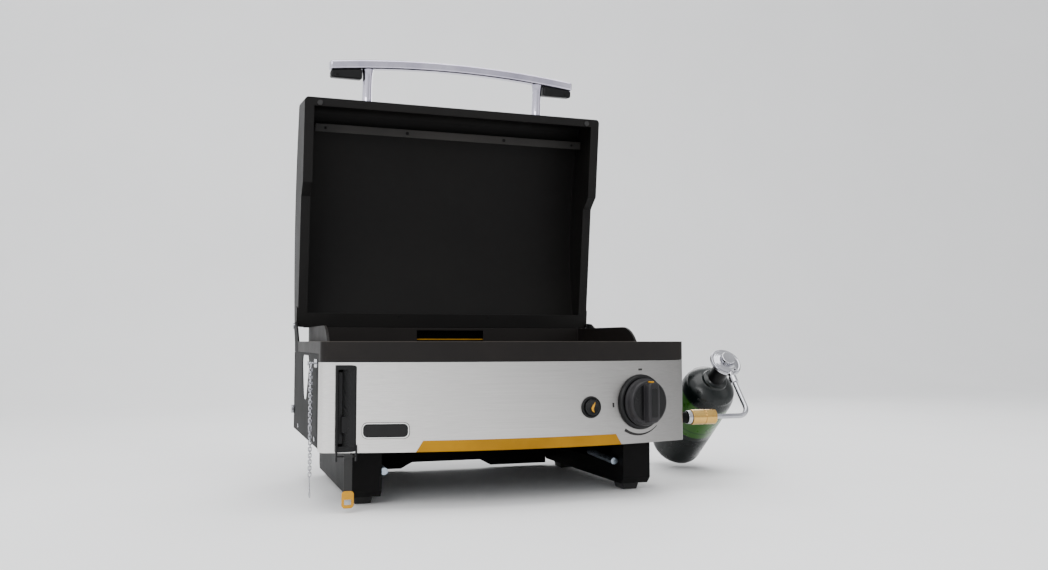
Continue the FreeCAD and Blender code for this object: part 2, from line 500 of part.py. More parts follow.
# ---- gas train outside ----
def make_gas():
    tilt = math.radians(CYL_TILT)
    axis = V(0, -math.cos(tilt), math.sin(tilt))        # towards the top end of the cylinder
    rise = V(0, math.sin(tilt), math.cos(tilt))         # across the axis, up and back
    disc = V(CYL_X, DISC_Y, DISC_Z)

    def fitting(x0, x1, radius):
        return rod((x0, FITTING_Y, FITTING_Z), (x1, FITTING_Y, FITTING_Z), radius)
    bulkhead = fitting(283, 314, 9).fuse(fitting(HALF, 300, 12))
    add("inlet_bulkhead", bulkhead.removeSplitter())
    add("inlet_ring", fitting(314, 322, 11))
    brass = fitting(322, 366, 12.5)
    add("brass_fitting", brass.cut(fitting(344.5, 346.5, 13).cut(fitting(344.5, 346.5, 11.4))))
    corner, bend = V(CYL_X, FITTING_Y, FITTING_Z), 20.0
    start, arc_start, arc_end = V(366, FITTING_Y, FITTING_Z), corner - X * bend, corner + rise * bend
    centre = corner + (rise - X) * bend
    mid = centre + (corner - centre).normalize() * bend
    reach = (disc - corner).Length - 28.5               # from the bend's corner to the rim of the disc
    end = corner + rise * (reach - 18)
    path = Part.Wire([Part.makeLine(start, arc_start), Part.Arc(arc_start, mid, arc_end).toShape(),
                      Part.makeLine(arc_end, end)])
    add("gas_tube", path.makePipeShell([Part.Wire(Part.makeCircle(4.3, start, X))], True, False))
    add("tube_nut", Part.makeCylinder(7.0, 14.0, end, rise))
    body = Part.makeCylinder(28.5, 8, disc - axis * 4, axis)
    body = body.makeFillet(2.5, [e for e in body.Edges if len(e.Vertexes) == 1])
    arm = Part.makeCylinder(3.8, 12.0, end + rise * 14, rise)
    add("regulator_body", body.fuse(arm).removeSplitter().Solids[0])
    add("regulator_cap", Part.makeCone(13.5, 12.5, 10, disc + axis * 4, axis))
    neck_r = 11.0
    adapter = Part.makeCylinder(15, 42, disc - axis * 4, axis * -1)
    add("cylinder_adapter", adapter.cut(Part.makeCylinder(neck_r + FIT_GAP, 35, disc - axis * 13, axis * -1)))
    # outline of the cylinder: radius, and distance from the disc down the axis
    neck_top, dome_top, shoulder, bottom, edge_r = 14.0, 48.0, 80.0, 262.0, 14.0

    def at(radius, distance):
        return V(radius, 0, -distance)
    points = [at(0, neck_top), at(neck_r, neck_top), at(neck_r, dome_top), at(22, dome_top)]
    edges = [Part.makeLine(points[i], points[i + 1]) for i in range(3)]
    edges.append(Part.Arc(at(22, dome_top), at(40.5, 59.5), at(CYL_R, shoulder)).toShape())
    edges.append(Part.makeLine(at(CYL_R, shoulder), at(CYL_R, bottom - edge_r)))
    diagonal = edge_r * (1 - math.sqrt(0.5))
    edges.append(Part.Arc(at(CYL_R, bottom - edge_r), at(CYL_R - diagonal, bottom - diagonal),
                          at(CYL_R - edge_r, bottom)).toShape())
    edges.append(Part.makeLine(at(CYL_R - edge_r, bottom), at(0, bottom)))
    edges.append(Part.makeLine(at(0, bottom), at(0, neck_top)))
    solid = Part.Face(Part.Wire(edges)).revolve(V(0, 0, 0), Z, 360)
    wall = 2.0
    hollow = Part.makeCylinder(CYL_R - wall, bottom - shoulder - edge_r, at(0, bottom - edge_r), Z)
    hollow = hollow.fuse(Part.makeCone(CYL_R - wall, 18, 24, at(0, shoulder), Z))
    solid = solid.cut(hollow).cut(Part.makeCylinder(2.5, 60, at(0, shoulder + 5), Z))
    solid.Placement = FreeCAD.Placement(disc, FreeCAD.Rotation(Z, axis))
    add("gas_cylinder", solid)


# ---- small trim ----
def make_trim():
    badge = bowed_prism(-1.2, WRAP, 102.4, 125.6, CORNER_R).cut(bowed_prism(0, WRAP + 1, 100, 130, CORNER_R))
    outline = box(-232, -166, -60, 20, 102.4, 125.6)
    badge = badge.common(outline.makeFillet(8, [e for e in outline.Edges if e.BoundBox.YLength > 79]))
    add("badge_plate", badge.Solids[0])
    strip = bowed_prism(-0.5, WRAP, PANEL_BOTTOM, STRIP_TOP, CORNER_R).cut(
        bowed_prism(0, WRAP + 1, PANEL_BOTTOM - 1, STRIP_TOP + 2, CORNER_R))
    outline = [(-157, PANEL_BOTTOM), (163, PANEL_BOTTOM), (153, STRIP_TOP), (-147, STRIP_TOP)]
    add("accent_strip", strip.common(prism_xz(outline, -60, 0)).Solids[0])
    screws = [rod((side * HALF, y, 97), (side * (HALF + 1.6), y, 97), 3.5) for side in (-1, 1) for y in (60, 300)]
    screws += [rod((x, BODY_D, 100), (x, BODY_D + 1.6, 100), 3.5) for x in (-230, 230)]
    add("body_screws", *screws)


def chain_link(centre, turn, length=7.0, wire=0.8):
    """One oval chain link hanging along z, turned about z."""
    half_w, half_l = 2.2, length / 2 - 2.2
    arcs = [Part.Arc(V(-half_w, 0, half_l), V(0, 0, half_l + half_w), V(half_w, 0, half_l)).toShape(),
            Part.makeLine(V(half_w, 0, half_l), V(half_w, 0, -half_l)),
            Part.Arc(V(half_w, 0, -half_l), V(0, 0, -half_l - half_w), V(-half_w, 0, -half_l)).toShape(),
            Part.makeLine(V(-half_w, 0, -half_l), V(-half_w, 0, half_l))]
    path = Part.Wire(arcs)
    section = Part.Wire(Part.makeCircle(wire, V(half_w, 0, half_l), Z))
    link = path.makePipeShell([section], True, False)
    link.rotate(V(0, 0, 0), Z, turn)
    link.translate(centre)
    return link


CHAIN_X, CHAIN_Y, CHAIN_TOP = -295.0, 60.0, 216.0


def make_chain():
    peg_z = CHAIN_TOP - 8
    bracket = box(-HALF - 1.5, -HALF, 36, 68, peg_z - 6, peg_z + 6)
    peg = rod((-HALF - 1, CHAIN_Y, peg_z), (CHAIN_X - 4.5, CHAIN_Y, peg_z), 1.6)
    head = rod((CHAIN_X - 3.5, CHAIN_Y, peg_z), (CHAIN_X - 5, CHAIN_Y, peg_z), 3.2)
    add("chain_bracket", bracket.fuse([peg, head]).removeSplitter())
    pitch = 5.2
    links = [Part.makeTorus(4.0, 1.0, V(CHAIN_X, CHAIN_Y, peg_z - 1.0), X)]
    z = peg_z - 6.4
    while z > 46 or len(links) % 2 == 1:
        links.append(chain_link(V(CHAIN_X, CHAIN_Y, z), 90 * ((len(links) + 1) % 2)))
        z -= pitch
    add("match_chain", *links)
    loop = Part.makeTorus(4.0, 1.0, V(CHAIN_X, CHAIN_Y, z - 0.1), X)
    hook = rod((CHAIN_X, CHAIN_Y, z - 4.0), (CHAIN_X, CHAIN_Y, z - 22.0), 1.2)
    clip = rod((CHAIN_X, CHAIN_Y, z - 21.0), (CHAIN_X, CHAIN_Y, z - 29.0), 3.2)
    clip = clip.cut(rod((CHAIN_X, CHAIN_Y, z - 23.0), (CHAIN_X, CHAIN_Y, z - 30.0), 2.2))
    add("match_holder", loop.fuse([hook, clip]).removeSplitter())


for make in (make_front_panel, make_side_panels, make_rear_panel, make_burner_box, make_griddle, make_tray,
             make_legs, make_burner, make_igniter, make_knob, make_latch, make_lid, make_hinges, make_gas,
             make_trim, make_chain):
    make()

whole = Part.makeCompound(list(nodes.values()))
bounds = whole.optimalBoundingBox()
shift = V(-(bounds.XMin + bounds.XMax) / 2, -(bounds.YMin + bounds.YMax) / 2, -bounds.ZMin)
os.makedirs("parts", exist_ok=True)
for name, shape in nodes.items():
    moved = shape.copy()
    moved.translate(shift)
    moved.exportStep("parts/%s.step" % name)
    state = "ok" if moved.isValid() else "INVALID"
    print("%-22s %2d solids %10.1f mm3 %s" % (name, len(moved.Solids), moved.Volume, state))
print("nodes", len(nodes), "shift", tuple(round(value, 4) for value in shift))
print("box", round(bounds.XLength, 2), round(bounds.YLength, 2), round(bounds.ZLength, 2))
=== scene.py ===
import json
import math

import bmesh
import bpy
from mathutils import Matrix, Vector


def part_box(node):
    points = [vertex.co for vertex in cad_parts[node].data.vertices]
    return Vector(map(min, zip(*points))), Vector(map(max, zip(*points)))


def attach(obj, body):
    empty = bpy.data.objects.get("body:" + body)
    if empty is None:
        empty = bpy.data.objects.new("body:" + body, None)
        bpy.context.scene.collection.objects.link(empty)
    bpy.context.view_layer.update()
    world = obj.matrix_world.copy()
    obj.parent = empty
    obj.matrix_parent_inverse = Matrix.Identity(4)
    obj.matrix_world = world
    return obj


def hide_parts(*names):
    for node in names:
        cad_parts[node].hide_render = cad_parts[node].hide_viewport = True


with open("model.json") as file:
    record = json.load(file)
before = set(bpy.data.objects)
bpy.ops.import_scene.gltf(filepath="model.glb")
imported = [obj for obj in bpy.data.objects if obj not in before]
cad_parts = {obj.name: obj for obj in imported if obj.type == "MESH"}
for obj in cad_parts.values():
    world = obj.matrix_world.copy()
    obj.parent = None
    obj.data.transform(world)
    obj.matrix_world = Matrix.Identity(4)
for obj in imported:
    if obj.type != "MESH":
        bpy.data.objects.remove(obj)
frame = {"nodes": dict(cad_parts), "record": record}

# Portable gas griddle. Everything is in metres, in the CAD frame.
# The griddle frame used for the measures below has x = 0 on the middle plane, y = 0 at the front corners
# of the body and z = 0 on the floor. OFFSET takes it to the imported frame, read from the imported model.
NODES = frame["nodes"]
MM = 0.001
FRONT_RADIUS = 0.9645
FRONT_BOW = 0.044
KNOB_X, KNOB_Z, KNOB_FACE = 198.7, 146.4, 24.0
IGNITER_X, IGNITER_Z = 109.5, 141.0
BADGE_X, BADGE_Z, BADGE_CORNER = -199.0, 114.0, 7.2
CHAIN_X, CHAIN_Y = -295.0, 60.0

griddle_lo, griddle_hi = (Vector(v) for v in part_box("griddle_plate"))
OFFSET = Vector(((griddle_lo.x + griddle_hi.x) / 2, griddle_hi.y - 0.390, 0.0))
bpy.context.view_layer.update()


def at(x, y, z):
    """A point given in mm in the griddle frame."""
    return Vector((x, y, z)) * MM + OFFSET


def srgb(*levels):
    """Linear colour from 8-bit sRGB levels."""
    out = []
    for level in levels:
        c = level / 255.0
        out.append(c / 12.92 if c <= 0.04045 else ((c + 0.055) / 1.055) ** 2.4)
    return (*out, 1.0)


# ---------------------------------------------------------------- materials
class Nodes:
    """Small helper to wire a node material."""

    def __init__(self, name):
        self.mat = bpy.data.materials.new(name)
        self.mat.use_nodes = True
        self.tree = self.mat.node_tree
        self.bsdf = self.tree.nodes["Principled BSDF"]

    def new(self, kind, **values):
        node = self.tree.nodes.new(kind)
        for key, value in values.items():
            if hasattr(node, key):
                setattr(node, key, value)
            else:
                node.inputs[key.replace("_", " ")].default_value = value
        return node

    def link(self, a, b):
        self.tree.links.new(a, b)

    def coords(self, scale=(1, 1, 1), rotation=(0, 0, 0), location=(0, 0, 0)):
        source = self.new("ShaderNodeTexCoord")
        mapping = self.new("ShaderNodeMapping")
        mapping.inputs["Scale"].default_value = scale
        mapping.inputs["Rotation"].default_value = rotation
        mapping.inputs["Location"].default_value = location
        self.link(source.outputs["Object"], mapping.inputs["Vector"])
        return mapping.outputs["Vector"]

    def noise(self, vector, scale, detail=4.0, roughness=0.55):
        node = self.new("ShaderNodeTexNoise")
        node.inputs["Scale"].default_value = scale
        node.inputs["Detail"].default_value = detail
        node.inputs["Roughness"].default_value = roughness
        self.link(vector, node.inputs["Vector"])
        return node.outputs["Fac"]

    def ramp(self, fac, stops):
        node = self.new("ShaderNodeValToRGB")
        elements = node.color_ramp.elements
        while len(elements) < len(stops):
            elements.new(0.5)
        for element, (place, colour) in zip(elements, stops):
            element.position = place
            element.color = colour if isinstance(colour, tuple) else (colour, colour, colour, 1)
        self.link(fac, node.inputs["Fac"])
        return node.outputs["Color"]

    def mix(self, fac, a, b, mode="MIX"):
        node = self.new("ShaderNodeMix", data_type="RGBA", blend_type=mode)
        for value, socket in ((fac, 0), (a, 6), (b, 7)):
            if isinstance(value, (int, float, tuple)):
                node.inputs[socket].default_value = value
            else:
                self.link(value, node.inputs[socket])
        return node.outputs[2]

    def math(self, operation, a, b=0.0):
        node = self.new("ShaderNodeMath", operation=operation)
        for value, socket in ((a, 0), (b, 1)):
            if isinstance(value, (int, float)):
                node.inputs[socket].default_value = value
            else:
                self.link(value, node.inputs[socket])
        return node.outputs[0]

    def set(self, name, value):
        if isinstance(value, (int, float, tuple)):
            self.bsdf.inputs[name].default_value = value
        else:
            self.link(value, self.bsdf.inputs[name])

    def bump(self, height, strength=0.2, distance=0.0003, bevel=0.0):
        node = self.new("ShaderNodeBump")
        node.inputs["Strength"].default_value = strength
        node.inputs["Distance"].default_value = distance
        self.link(height, node.inputs["Height"])
        if bevel:
            round_edge = self.new("ShaderNodeBevel", samples=4)
            round_edge.inputs["Radius"].default_value = bevel
            self.link(round_edge.outputs["Normal"], node.inputs["Normal"])
        self.link(node.outputs["Normal"], self.bsdf.inputs["Normal"])


def surface(name, light, dark, rough=(0.35, 0.5), metallic=0.0, grain=900, grain_scale=(1, 1, 1), bump=0.1,
            coat=0.0, bevel=0.0006, blotch=14, wear=None, sheen=0.0, specular=0.5):
    """A painted, moulded or metal surface: broad colour variation, fine grain in roughness and bump."""
    n = Nodes(name)
    vector = n.coords()
    broad = n.noise(vector, blotch, 5.0)
    colour = n.ramp(broad, [(0.3, dark), (0.72, light)])
    fine_vector = n.coords(scale=grain_scale)
    fine = n.noise(fine_vector, grain, 3.0)
    if wear:
        speck = n.ramp(n.noise(vector, 160, 6.0, 0.7), [(0.64, 0.0), (0.72, 1.0)])
        colour = n.mix(n.math("MULTIPLY", speck, 0.35), colour, wear)
    n.set("Base Color", colour)
    n.set("Metallic", metallic)
    n.set("Specular IOR Level", specular)
    mixed = n.math("ADD", n.math("MULTIPLY", broad, 0.6), n.math("MULTIPLY", fine, 0.4))
    n.set("Roughness", n.ramp(mixed, [(0.3, rough[0]), (0.7, rough[1])]))
    n.set("Coat Weight", coat)
    n.set("Coat Roughness", 0.12)
    n.set("Sheen Weight", sheen)
    n.bump(fine, bump, 0.0003, bevel)
    return n.mat


def brushed(name, light, dark, along="x", rough=(0.24, 0.38), anisotropic=0.6, bevel=0.0006, painted_shade=False):
    """Brushed sheet steel, with streaks along one axis; painted shade may darken it towards the right."""
    n = Nodes(name)
    scale = {"x": (1.2, 60, 420), "y": (60, 1.2, 420), "z": (420, 420, 1.2)}[along]
    streak_vector = n.coords(scale=scale)
    streak = n.noise(streak_vector, 4.0, 8.0, 0.65)
    fine = n.noise(n.coords(scale=tuple(3 * s for s in scale)), 9.0, 3.0)
    smudge = n.noise(n.coords(), 7.0, 5.0, 0.6)
    both = n.math("ADD", n.math("MULTIPLY", streak, 0.7), n.math("MULTIPLY", fine, 0.3))
    colour = n.ramp(both, [(0.3, dark), (0.7, light)])
    colour = n.mix(n.math("MULTIPLY", n.ramp(smudge, [(0.45, 0.0), (0.75, 1.0)]), 0.18), colour, dark)
    if painted_shade:
        # painted shade: the colour darkens across x from left to right, standing in for the light falling
        # from the left
        place = n.new("ShaderNodeSeparateXYZ")
        n.link(n.coords(), place.inputs[0])
        across = n.math("MULTIPLY", n.math("ADD", place.outputs["X"], 0.38), 1.75)
        colour = n.mix(1.0, colour, n.ramp(across, [(0.0, 1.0), (0.4, 0.78), (1.0, 0.32)]), "MULTIPLY")
    n.set("Base Color", colour)
    n.set("Metallic", 1.0)
    n.set("Anisotropic", anisotropic)
    total = n.math("ADD", n.math("MULTIPLY", both, 0.6), n.math("MULTIPLY", smudge, 0.4))
    n.set("Roughness", n.ramp(total, [(0.3, rough[0]), (0.7, rough[1])]))
    n.bump(both, 0.06, 0.0002, bevel)
    return n.mat


def seasoned_griddle():
    """Rolled steel cooking plate: dark brown oil film, fine rolled grain, a painted highlight along the top
    edge.
    """
    n = Nodes("seasoned_griddle")
    vector = n.coords()
    broad = n.noise(vector, 9, 7.0, 0.6)
    base = n.ramp(broad, [(0.28, srgb(13, 11, 10)), (0.55, srgb(18, 15, 14)), (0.8, srgb(26, 22, 19))])
    grain = n.noise(n.coords(scale=(0.6, 9, 9)), 260, 5.0, 0.65)
    base = n.mix(n.math("MULTIPLY", grain, 0.25), base, srgb(30, 26, 23))
    place = n.new("ShaderNodeSeparateXYZ")
    n.link(vector, place.inputs[0])
    # painted highlight: a lighter band at the very top of the plate, standing in for light caught on its
    # rounded top edge
    top = n.math("SUBTRACT", place.outputs["Z"], 0.2388)
    top_edge_highlight = n.ramp(n.math("MULTIPLY", top, 400.0), [(0.0, 0.0), (0.35, 1.0), (0.6, 1.0), (0.75, 0.0)])
    base = n.mix(n.math("MULTIPLY", top_edge_highlight, 0.3), base, srgb(84, 78, 72))
    n.set("Base Color", base)
    n.set("Metallic", 0.0)
    n.set("Roughness", n.ramp(broad, [(0.3, 0.46), (0.75, 0.62)]))
    n.set("Specular IOR Level", 0.16)
    n.set("Coat Weight", 0.03)
    n.set("Coat Roughness", 0.3)
    n.bump(grain, 0.16, 0.0003, 0.0012)
    return n.mat


def bottle_paint(origin, axis):
    """Gas cylinder enamel: a pale green label band between dark green ends, measured down the axis."""
    n = Nodes("bottle_enamel")
    vector = n.coords()
    shift = n.new("ShaderNodeVectorMath", operation="SUBTRACT")
    n.link(vector, shift.inputs[0])
    shift.inputs[1].default_value = origin
    dot = n.new("ShaderNodeVectorMath", operation="DOT_PRODUCT")
    n.link(shift.outputs["Vector"], dot.inputs[0])
    dot.inputs[1].default_value = tuple(-axis)
    down = n.math("DIVIDE", dot.outputs["Value"], 0.300)
    dark, band, stripe = srgb(2, 9, 8), srgb(44, 92, 16), srgb(22, 58, 18)
    node = n.new("ShaderNodeValToRGB")
    node.color_ramp.interpolation = "CONSTANT"
    stops = [(0.0, dark), (0.283, stripe), (0.29, band), (0.50, stripe), (0.506, band), (0.55, dark)]
    elements = node.color_ramp.elements
    while len(elements) < len(stops):
        elements.new(0.5)
    for element, (spot, colour) in zip(elements, stops):
        element.position, element.color = spot, colour
    n.link(down, node.inputs["Fac"])
    speck = n.noise(vector, 60, 5.0, 0.6)
    colour = n.mix(n.math("MULTIPLY", speck, 0.25), node.outputs["Color"], dark)
    n.set("Base Color", colour)
    n.set("Roughness", n.ramp(n.noise(vector, 30, 4.0), [(0.3, 0.22), (0.7, 0.38)]))
    n.set("Specular IOR Level", 0.3)
    n.set("Coat Weight", 0.16)
    n.set("Coat Roughness", 0.12)
    n.bump(n.noise(vector, 400, 3.0), 0.05, 0.0002, 0.0)
    return n.mat


MATS = {
    # stainless front, with painted shade that darkens it towards the right
    "stainless": brushed("stainless_front", srgb(236, 234, 231), srgb(204, 202, 200), rough=(0.3, 0.42),
                         painted_shade=True),
    "wire": surface("bright_wire", srgb(205, 206, 210), srgb(160, 160, 166), (0.14, 0.26), 1.0, grain=1500),
    "rod": surface("zinc_rod", srgb(186, 198, 210), srgb(140, 152, 168), (0.2, 0.32), 1.0, grain=1500),
    "galvanised": surface("galvanised_sheet", srgb(168, 170, 172), srgb(120, 123, 126), (0.35, 0.55), 0.95,
                          grain=500, blotch=55),
    "body_black": surface("body_powder_coat", srgb(10, 10, 10), srgb(6, 6, 6), (0.55, 0.68), grain=1400,
                          bump=0.16, specular=0.1),
    "leg_black": surface("leg_powder_coat", srgb(9, 8, 9), srgb(5, 5, 5), (0.5, 0.64), grain=1300,
                         bump=0.18, specular=0.1),
    "hood": surface("hood_enamel", srgb(21, 20, 19), srgb(15, 14, 14), (0.46, 0.58), grain=1200, bump=0.14,
                    bevel=0.0015, blotch=5, specular=0.12),
    "baffle": surface("baffle_enamel", srgb(50, 48, 46), srgb(38, 37, 36), (0.44, 0.56), grain=1200,
                      bump=0.14, bevel=0.0006, blotch=8, specular=0.2),
    "griddle": seasoned_griddle(),
    "chrome": surface("chrome_plate", srgb(214, 210, 224), srgb(176, 172, 190), (0.07, 0.16), 1.0, grain=300,
                      bump=0.02, bevel=0.002),
    "plastic": surface("black_plastic", srgb(13, 13, 14), srgb(7, 7, 8), (0.36, 0.5), grain=1800, bump=0.16,
                       bevel=0.001, specular=0.22),
    "gloss_plastic": surface("gloss_black_plastic", srgb(8, 8, 9), srgb(4, 4, 5), (0.24, 0.36), grain=900,
                             bump=0.04, coat=0.08, bevel=0.001, specular=0.22),
    "rubber": surface("black_rubber", srgb(22, 21, 21), srgb(12, 12, 12), (0.6, 0.8), grain=1200, bump=0.25,
                      bevel=0.0012, sheen=0.1),
    "yellow_plastic": surface("yellow_plastic", srgb(198, 142, 0), srgb(174, 122, 0), (0.3, 0.42), grain=1400,
                              bump=0.08, coat=0.08, bevel=0.0008, specular=0.3),
    "gold_strip": surface("yellow_strip_paint", srgb(158, 112, 0), srgb(136, 95, 0), (0.38, 0.5), 0.0,
                          grain=900, bump=0.05, specular=0.15),
    "brass": surface("turned_brass", srgb(232, 196, 120), srgb(186, 140, 66), (0.16, 0.28), 1.0, grain=300,
                     grain_scale=(14, 1, 1), bump=0.04),
    "ceramic": surface("glazed_ceramic", srgb(232, 228, 218), srgb(206, 200, 188), (0.15, 0.25), coat=0.6),
    "pressed_chrome": surface("pressed_chrome", srgb(206, 206, 210), srgb(170, 170, 176), (0.1, 0.22), 1.0,
                              grain=700, bump=0.04, bevel=0.0008),
    "knob_grey": surface("knob_soft_grey", srgb(34, 33, 35), srgb(25, 24, 26), (0.36, 0.48), grain=1500,
                         bump=0.12, bevel=0.001, specular=0.25),
    "dark_mark": surface("dark_print", srgb(46, 44, 44), srgb(34, 33, 33), (0.45, 0.6), grain=1600,
                         specular=0.2),
    # white for the badge rim, and for the painted highlight on the knob face
    "white_mark_and_highlight": surface("white_print_and_painted_highlight", srgb(226, 226, 224), srgb(200, 200, 198), (0.4, 0.5), grain=1600),
}

NODE_MATS = {
    "stainless": ["front_panel", "burner_tube"],
    "body_black": ["left_side_panel", "right_side_panel", "rear_panel", "grease_tray_rails", "hinge_brackets",
                   "inlet_bulkhead", "grease_tray"],
    "galvanised": ["burner_box", "griddle_supports", "venturi_tube", "burner_brackets",
                   "regulator_body"],
    "griddle": ["griddle_plate"],
    "gold_strip": ["grease_tray_strip", "accent_strip"],
    "leg_black": ["left_leg_frame", "right_leg_frame", "rear_leg_panel"],
    "rubber": ["rubber_feet", "pull_strap", "lid_bumpers"],
    "rod": ["leg_brace_rods"],
    "wire": ["inlet_pipe", "latch_pin", "hinge_pins", "side_bolts", "gas_tube",
             "body_screws", "chain_bracket", "match_chain", "match_holder", "inlet_ring"],
    "brass": ["gas_valve", "valve_stem", "brass_fitting"],
    "plastic": ["igniter_bezel", "igniter_module", "knob_bezel", "latch_housing", "latch_lever",
                "handle_grips", "cylinder_adapter", "latch_guides"],
    "gloss_plastic": ["control_knob", "igniter_button", "badge_plate"],
    "ceramic": ["igniter_electrode"],
    "yellow_plastic": ["knob_pointer", "pull_tab"],
    "hood": ["lid_shell", "hinge_leaves", "hood_screws"],
    "baffle": ["lid_baffle"],
    "chrome": ["handle_bar", "handle_posts"],
    "pressed_chrome": ["regulator_cap", "tube_nut"],
}


tilt = math.radians(40)
BOTTLE_AXIS = Vector((0, -math.cos(tilt), math.sin(tilt)))
DISC = at(434, 116, 203)
bottle_mat = bottle_paint(tuple(DISC), BOTTLE_AXIS)

for key, names in NODE_MATS.items():
    for name in names:
        node = NODES[name]
        for index in range(max(1, len(node.material_slots))):
            if node.material_slots:
                node.material_slots[index].material = MATS[key]
            else:
                node.data.materials.append(MATS[key])
for item in NODES["gas_cylinder"].material_slots:
    item.material = bottle_mat


# ---------------------------------------------------------------- pieces
def joined(name, bm, material, body, node=None, smooth=True):
    """Makes an object from a bmesh, rides it on a body and gives it its finish."""
    mesh = bpy.data.meshes.new(name)
    bmesh.ops.recalc_face_normals(bm, faces=bm.faces)
    bm.to_mesh(mesh)
    bm.free()
    for face in mesh.polygons:
        face.use_smooth = smooth
    obj = bpy.data.objects.new(name, mesh)
    bpy.context.collection.objects.link(obj)
    mesh.materials.append(material)
    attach(obj, body)
    if node:
        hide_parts(node)
    return obj


BODY_OF = {node: body for body, nodes in frame["record"]["behaviour"]["bodies"].items() for node in nodes}


def apply_modifiers(obj):
    graph = bpy.context.evaluated_depsgraph_get()
    mesh = bpy.data.meshes.new_from_object(obj.evaluated_get(graph))
    obj.modifiers.clear()
    obj.data = mesh


def soften(node, width, segments=3, angle=28, material=None):
    """A detailed copy of a CAD piece with real rounded edges, in its place."""
    source = NODES[node]
    bm = bmesh.new()
    bm.from_mesh(source.data)
    bmesh.ops.remove_doubles(bm, verts=bm.verts, dist=2e-6)
    bmesh.ops.dissolve_limit(bm, angle_limit=math.radians(0.6), verts=bm.verts, edges=bm.edges)
    mesh = bpy.data.meshes.new(node + "_rounded")
    bm.to_mesh(mesh)
    bm.free()
    for face in mesh.polygons:
        face.use_smooth = True
    obj = bpy.data.objects.new(node + "_rounded", mesh)
    bpy.context.collection.objects.link(obj)
    mesh.materials.clear()
    mesh.materials.append(material or source.material_slots[0].material)
    bevel = obj.modifiers.new("round", "BEVEL")
    bevel.width, bevel.segments = width * MM, segments
    bevel.limit_method, bevel.angle_limit = "ANGLE", math.radians(angle)
    bevel.use_clamp_overlap = True
    bevel.miter_outer = "MITER_ARC"
    weighted = obj.modifiers.new("normals", "WEIGHTED_NORMAL")
    weighted.keep_sharp = True
    weighted.weight = 80
    apply_modifiers(obj)
    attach(obj, BODY_OF[node])
    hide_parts(node)
    return obj


def lathe(bm, centre, axis, profile, steps=96):
    """Turns a profile of (radius, height) pairs, in mm, about an axis through centre."""
    axis = Vector(axis).normalized()
    across = axis.orthogonal().normalized()
    other = axis.cross(across)
    rows = []
    for radius, height in profile:
        if radius < 1e-6:
            rows.append([bm.verts.new(centre + axis * height * MM)])
            continue
        rows.append([bm.verts.new(centre + axis * height * MM + (across * math.cos(a) + other * math.sin(a))
                                  * radius * MM) for a in (2 * math.pi * i / steps for i in range(steps))])
    for low, high in zip(rows, rows[1:]):
        for i in range(steps):
            j = (i + 1) % steps
            if len(low) == 1:
                bm.faces.new((low[0], high[i], high[j]))
            elif len(high) == 1:
                bm.faces.new((low[i], high[0], low[j]))
            else:
                bm.faces.new((low[i], high[i], high[j], low[j]))
    for ring in (rows[0], rows[-1]):
        if len(ring) > 1:
            bm.faces.new(ring)


def tube(bm, points, radius, closed=False, sides=10):
    """A round tube of one radius, in mm, through the points."""
    count = len(points)
    rings = []
    normal = None
    for i, point in enumerate(points):
        before = points[i - 1] if i or closed else points[i]
        after = points[(i + 1) % count] if i + 1 < count or closed else points[i]
        along = (after - before).normalized()
        if normal is None:
            normal = along.orthogonal().normalized()
        else:
            normal = (normal - along * normal.dot(along)).normalized()
        side = along.cross(normal)
        rings.append([bm.verts.new(point + (normal * math.cos(a) + side * math.sin(a)) * radius * MM)
                      for a in (2 * math.pi * k / sides for k in range(sides))])
    pairs = list(zip(rings, rings[1:])) + ([(rings[-1], rings[0])] if closed else [])
    for low, high in pairs:
        for k in range(sides):
            m = (k + 1) % sides
            bm.faces.new((low[k], low[m], high[m], high[k]))
    if not closed:
        bm.faces.new(rings[0])
        bm.faces.new(rings[-1])


def front_y(x):
    """y of the bowed front at x, in mm, in the griddle frame."""
    r = FRONT_RADIUS / MM
    return r - FRONT_BOW / MM - math.sqrt(r * r - x * x)


def front_axes(x):
    """Outward normal and rightward tangent of the bowed front at x."""
    normal = Vector((x / (FRONT_RADIUS / MM), -math.sqrt(1 - (x * MM / FRONT_RADIUS) ** 2), 0))
    return normal, Vector((-normal.y, normal.x, 0))


def plate(bm, centre, right, up, out, outline, thick):
    """A thin plate from an outline of (right, up) pairs in mm, standing out by thick mm."""
    low = [bm.verts.new(centre + (right * a + up * b) * MM) for a, b in outline]
    high = [bm.verts.new(centre + (right * a + up * b + out * thick) * MM) for a, b in outline]
    count = len(outline)
    bm.faces.new(high)
    bm.faces.new(low[::-1])
    for i in range(count):
        j = (i + 1) % count
        bm.faces.new((low[i], low[j], high[j], high[i]))


UP = Vector((0, 0, 1))

for name, width in {
    "lid_shell": 2.6, "griddle_plate": 1.0, "handle_bar": 4.6, "handle_grips": 3.2, "rubber_feet": 1.6,
    "left_leg_frame": 1.2, "right_leg_frame": 1.2, "latch_housing": 1.0, "latch_lever": 0.8, "pull_tab": 0.9,
    "lid_baffle": 0.5, "grease_tray": 0.7, "hinge_leaves": 0.7, "hinge_brackets": 0.9, "front_panel": 0.5,
    "left_side_panel": 0.5, "right_side_panel": 0.5, "rear_leg_panel": 0.5, "side_bolts": 1.0,
    "tube_nut": 0.8, "inlet_ring": 1.2, "brass_fitting": 0.9, "inlet_bulkhead": 0.9, "regulator_cap": 1.6,
    "cylinder_adapter": 1.2, "pull_strap": 0.4, "hood_screws": 0.5,
}.items():
    soften(name, width)

# handle posts that flare towards the bar
HOOD_UP = Vector((0, -0.1219, 0.9925))
HOOD_OUT = Vector((0, 0.9925, 0.1219))


def hood_at(x, u, v):
    """A point on the open hood, u from the rear rim towards the front, v up from the rim, in mm."""
    return at(x, 397.0, 266.0) + (HOOD_UP * u + HOOD_OUT * v) * MM


